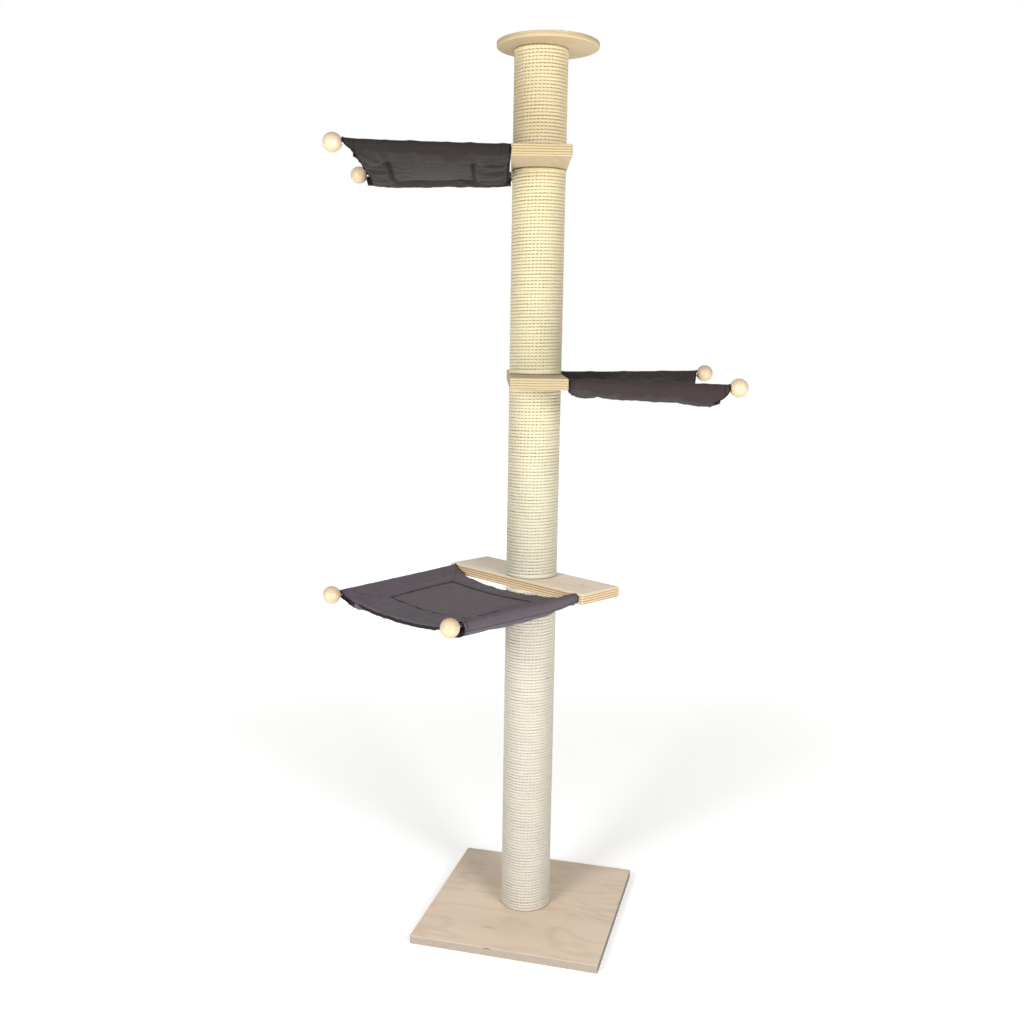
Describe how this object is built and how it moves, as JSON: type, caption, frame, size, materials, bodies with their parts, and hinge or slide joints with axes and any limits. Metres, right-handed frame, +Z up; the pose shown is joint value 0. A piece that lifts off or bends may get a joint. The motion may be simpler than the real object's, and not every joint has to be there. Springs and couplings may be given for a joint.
{
  "type": "cat tree",
  "caption": "Free-standing sisal scratching post on a plywood base, with clamped plywood boards that each swivel and carry a canvas hammock on steel rods.",
  "frame": {"origin": "on the floor under the base plate, on the axis of the post", "axes": "+Z up along the post; X and Y along the sides of the base plate"},
  "size_m": [0.9672, 0.8162, 2.0318],
  "materials": {
    "plywood": "satin",
    "turned_wood": "satin",
    "pine": "matte",
    "paper_tube": "matte",
    "sisal": "matte",
    "canvas": "matte",
    "polished_steel": "polished",
    "zinc_steel": "satin"
  },
  "bodies": {
    "stand": {"base_plate": "plywood", "base_screws": "zinc_steel", "perch_1_stud": "zinc_steel", "perch_2_stud": "zinc_steel", "perch_3_stud": "zinc_steel", "post_1_core_tube": "paper_tube", "post_1_lower_plug": "pine", "post_1_sisal_winding": "sisal", "post_1_upper_plug": "pine", "post_2_core_tube": "paper_tube", "post_2_lower_plug": "pine", "post_2_sisal_winding": "sisal", "post_2_upper_plug": "pine", "post_3_core_tube": "paper_tube", "post_3_lower_plug": "pine", "post_3_sisal_winding": "sisal", "post_3_upper_plug": "pine", "post_4_core_tube": "paper_tube", "post_4_lower_plug": "pine", "post_4_sisal_winding": "sisal", "post_4_upper_plug": "pine", "threaded_inserts": "zinc_steel", "top_plate": "plywood", "top_screws": "zinc_steel"},
    "perch_1": {"perch_1_board": "plywood", "perch_1_hammock_border": "canvas", "perch_1_hammock_panel": "canvas", "perch_1_left_ball": "turned_wood", "perch_1_left_rod": "polished_steel", "perch_1_right_ball": "turned_wood", "perch_1_right_rod": "polished_steel"},
    "perch_2": {"perch_2_board": "plywood", "perch_2_hammock_border": "canvas", "perch_2_hammock_panel": "canvas", "perch_2_left_ball": "turned_wood", "perch_2_left_rod": "polished_steel", "perch_2_right_ball": "turned_wood", "perch_2_right_rod": "polished_steel"},
    "perch_3": {"perch_3_board": "plywood", "perch_3_hammock_border": "canvas", "perch_3_hammock_panel": "canvas", "perch_3_left_ball": "turned_wood", "perch_3_left_rod": "polished_steel", "perch_3_right_ball": "turned_wood", "perch_3_right_rod": "polished_steel"}
  },
  "joints": [
    {"name": "perch_1_swivel", "type": "hinge", "parent": "stand", "child": "perch_1", "pos_m": [0, 0, 0.8363], "axis": [0, 0, 1], "continuous": true},
    {"name": "perch_2_swivel", "type": "hinge", "parent": "stand", "child": "perch_2", "pos_m": [0, 0, 1.3049], "axis": [0, 0, 1], "continuous": true},
    {"name": "perch_3_swivel", "type": "hinge", "parent": "stand", "child": "perch_3", "pos_m": [0, 0, 1.7785], "axis": [0, 0, 1], "continuous": true}
  ]
}
